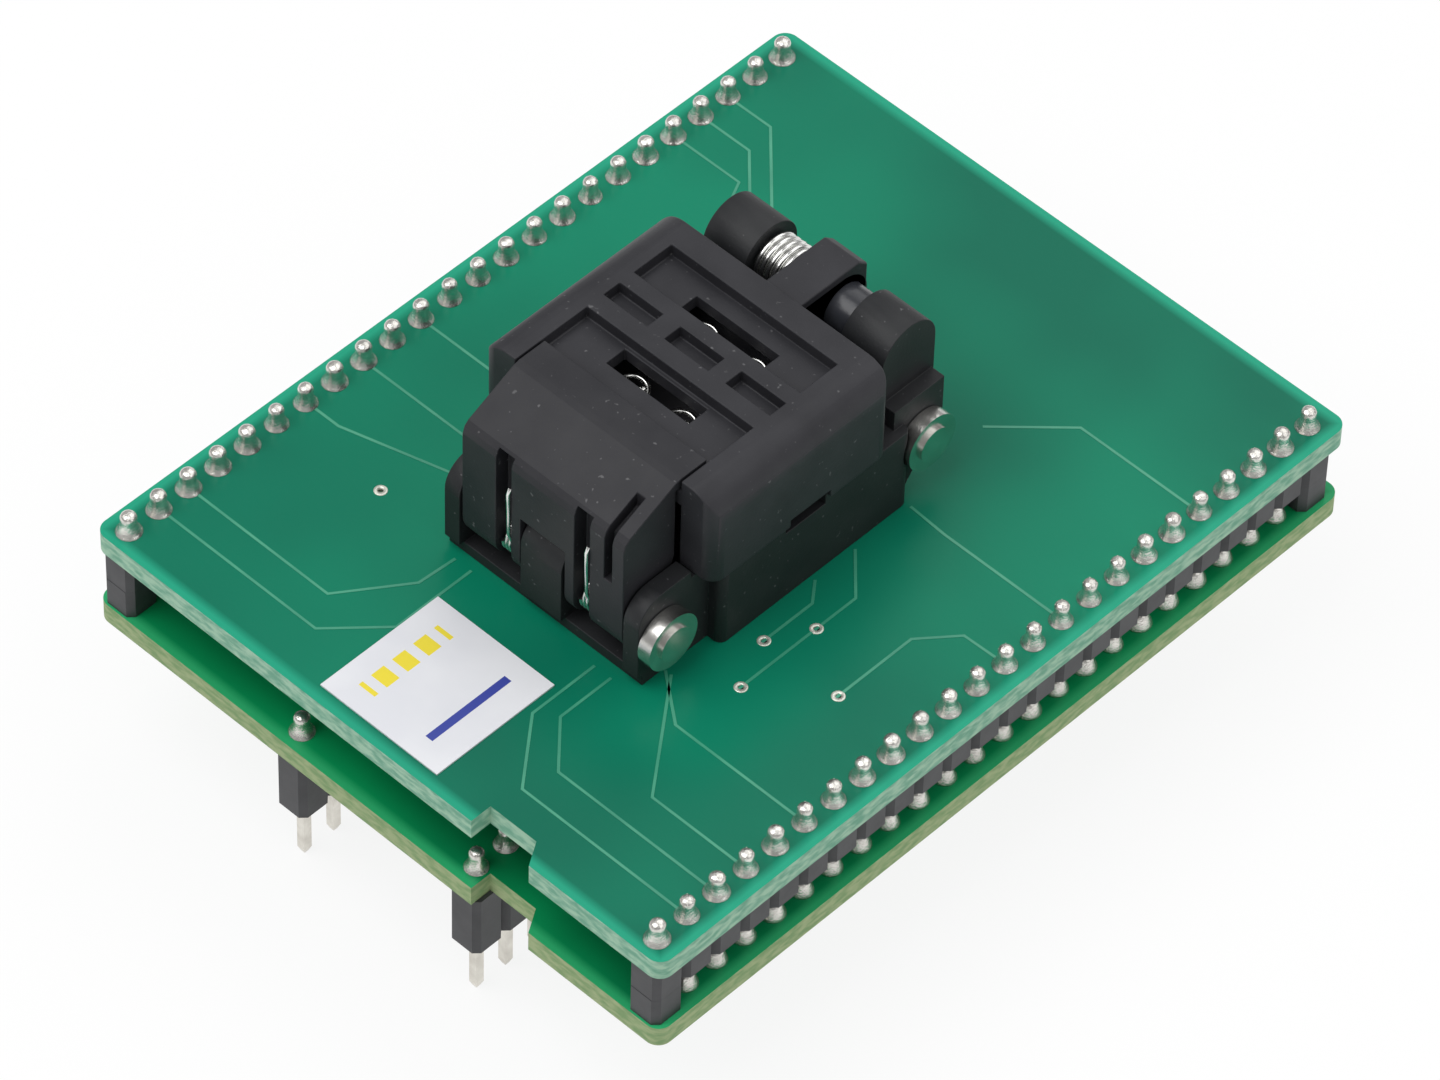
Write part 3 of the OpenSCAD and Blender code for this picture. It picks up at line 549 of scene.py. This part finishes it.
# The leg runs up from the lid to the coil: (y, z) from the hinge axis
HINGE_LEG = [(-3.5 * MM, -2.2 * MM), (-1.85 * MM, -1.6 * MM), (-HINGE_COIL_R, -0.8 * MM)]
leg = [(x0, hinge_axis.y + y, hinge_axis.z + z) for y, z in HINGE_LEG]
route = leg + coil_across(x0, x1, hinge_axis, HINGE_COIL_R, HINGE_TURNS, -1)
piece = grown("hinge_spring_wire", path_mesh("hinge_spring_wire", [route]), round_wire, "lid", "spring_steel",
              width=HINGE_WIRE, material=spring_steel)
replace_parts(piece, "hinge_spring")

low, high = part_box("pad_springs")
routes = []
for x in (low.x + PAD_COIL_R + PAD_WIRE / 2, high.x - PAD_COIL_R - PAD_WIRE / 2):
    for y in (low.y + PAD_COIL_R + PAD_WIRE / 2, high.y - PAD_COIL_R - PAD_WIRE / 2):
        count = PAD_TURNS * TURN_POINTS
        foot, rise = low.z + PAD_WIRE / 2, high.z - low.z - PAD_WIRE
        routes.append([(x + PAD_COIL_R * math.cos(2 * math.pi * PAD_TURNS * i / count),
                        y + PAD_COIL_R * math.sin(2 * math.pi * PAD_TURNS * i / count),
                        foot + rise * i / count) for i in range(count + 1)])
piece = grown("pad_spring_wires", path_mesh("pad_spring_wires", routes), round_wire, "lid", "spring_steel",
              width=PAD_WIRE, material=spring_steel)
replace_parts(piece, "pad_springs")
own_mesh(piece)

# The lug's flat top and square back, which the round lug of the solid lies in
LUG_X = (-1.05, 2.0)
LUG_SIDE = [(-4.3, -0.6), (-4.3, 2.75), (1.5, 2.75), (2.25, 2.1), (2.25, -0.6)]
LUG_RADIUS = 0.15
verts = [(x * MM, hinge_axis.y + y * MM, hinge_axis.z + z * MM) for x in LUG_X for y, z in LUG_SIDE]
n = len(LUG_SIDE)
faces = [tuple(range(n)), tuple(range(2 * n - 1, n - 1, -1))]
faces += [(k, k + n, (k + 1) % n + n, (k + 1) % n) for k in range(n)]
mesh = bpy.data.meshes.new("hinge_lug_form")
mesh.from_pydata(verts, [], faces)
shell = bmesh.new()
shell.from_mesh(mesh)
bmesh.ops.recalc_face_normals(shell, faces=shell.faces)
shell.to_mesh(mesh)
shell.free()
rounded("hinge_lug_block", mesh, "lid", lid_black, LUG_RADIUS)


# ---- Latch ----
# The lever that holds the lid shut: a black moulding on the front pin, its hook over the lid's front
# recess, and two torsion springs whose straight legs lie in its slots.

# The latch's black, between the lid's and the base's, is painted light and shade for its half-lit front
# slope.
latch_black = moulded_black("latch_black", (0.026, 0.026, 0.030), (0.017, 0.017, 0.021))
moulded("latch", "latch", latch_black)
LATCH_WIRE, LATCH_COIL_R, LATCH_TURNS = 0.28 * MM, 1.45 * MM, 3
# The leg lies on the latch's front face: (x, y, z) from the coil's end, that face and the pin's axis
LATCH_LEG = [(0.0, 0.35 * MM, 0.7 * MM), (0.02 * MM, 0.02 * MM, 1.6 * MM), (0.1 * MM, -0.14 * MM, 5.4 * MM),
             (0.06 * MM, 0.1 * MM, 5.75 * MM)]
latch_axis = (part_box("latch_pin")[0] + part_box("latch_pin")[1]) / 2
latch_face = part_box("latch")[0].y
for side in ("left", "right"):
    node = "latch_spring_" + side
    low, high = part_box(node)
    x0, x1 = low.x + LATCH_WIRE / 2, high.x - LATCH_WIRE / 2
    leg = [(x1 + x, latch_face + y, latch_axis.z + z) for x, y, z in LATCH_LEG]
    route = coil_across(x0, x1, latch_axis, LATCH_COIL_R, LATCH_TURNS, 1) + leg
    piece = grown(node + "_wire", path_mesh(node, [route]), round_wire, "latch", "spring_steel",
                  width=LATCH_WIRE, material=spring_steel)
    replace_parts(piece, node)


# ---- Studio ----
# A pale matt floor that meets the background without an edge, three soft square lamps and a pale sky.
# The camera is a long lens in front, to the right and above.

FLOOR_GLOW = 0.88


def stage_floor():
    """A wide floor that a viewer sees as white and that still takes the object's shadow."""
    low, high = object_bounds()
    size = 40 * (high - low).length
    mesh = bpy.data.meshes.new("floor")
    corners = [(-size, -size, 0), (size, -size, 0), (size, size, 0), (-size, size, 0)]
    mesh.from_pydata(corners, [], [(0, 1, 2, 3)])
    floor = bpy.data.objects.new("floor", mesh)
    bpy.context.scene.collection.objects.link(floor)
    mat = bpy.data.materials.new("floor_white")
    mat.use_nodes = True
    tree = mat.node_tree
    tree.nodes.clear()
    rays = add(tree, "ShaderNodeLightPath").outputs
    seen = rays["Is Camera Ray"]
    for kind in ("Is Glossy Ray", "Is Transmission Ray"):
        seen = add(tree, "ShaderNodeMath", {"operation": "MAXIMUM"}, _0=seen, _1=rays[kind]).outputs[0]
    share = add(tree, "ShaderNodeMath", {"operation": "MULTIPLY"}, _0=seen, _1=FLOOR_GLOW).outputs[0]
    matt = add(tree, "ShaderNodeBsdfDiffuse", Color=(0.9, 0.9, 0.9, 1)).outputs[0]
    white = add(tree, "ShaderNodeEmission", Color=(1, 1, 1, 1), Strength=1.0).outputs[0]
    mixed = add(tree, "ShaderNodeMixShader", _0=share, _1=matt, _2=white).outputs[0]
    tree.links.new(mixed, tree.nodes.new("ShaderNodeOutputMaterial").inputs[0])
    mesh.materials.append(mat)


def lamp(name, azimuth, elevation, distance, size, power):
    """A square area lamp that looks at the object from an angle."""
    data = bpy.data.lights.new(name, "AREA")
    data.size = size
    data.energy = power
    light = bpy.data.objects.new(name, data)
    bpy.context.scene.collection.objects.link(light)
    a, e = math.radians(azimuth), math.radians(elevation)
    back = Vector((math.sin(a) * math.cos(e), -math.cos(a) * math.cos(e), math.sin(e)))
    light.location = back * distance
    light.rotation_euler = (-back).to_track_quat("-Z", "Y").to_euler()


def sky():
    """An even white light from all round."""
    world = bpy.data.worlds.new("sky")
    bpy.context.scene.world = world
    world.use_nodes = True
    background = world.node_tree.nodes["Background"]
    background.inputs["Color"].default_value = (1, 1, 1, 1)
    background.inputs["Strength"].default_value = 0.36


def camera():
    """A long lens, turned a little about its own axis."""
    azimuth, elevation, roll = math.radians(42.704), math.radians(48.534), math.radians(1.83)
    distance, aim = 0.5505, Vector((0.00346, -0.00409, 0.01791))
    data = bpy.data.cameras.new("camera")
    data.lens = 222.1
    data.sensor_width = 36
    data.clip_start, data.clip_end = 0.01, 100
    eye = bpy.data.objects.new("camera", data)
    bpy.context.scene.collection.objects.link(eye)
    back = Vector((math.sin(azimuth) * math.cos(elevation), -math.cos(azimuth) * math.cos(elevation),
                   math.sin(elevation)))
    right = Vector((math.cos(azimuth), math.sin(azimuth), 0))
    up = back.cross(right)
    side = right * math.cos(roll) + up * math.sin(roll)
    top = back.cross(side)
    turn = [[side[i], top[i], back[i]] for i in range(3)]
    eye.rotation_euler = Matrix(turn).to_euler()
    eye.location = aim + back * distance
    bpy.context.scene.camera = eye


stage_floor()
lamp("key", azimuth=-25, elevation=62, distance=0.6, size=0.5, power=2.3)
lamp("fill", azimuth=110, elevation=45, distance=0.7, size=0.6, power=1.2)
lamp("rear", azimuth=190, elevation=50, distance=0.7, size=0.6, power=1.3)
sky()
camera()
bpy.context.scene.view_settings.view_transform = "Standard"
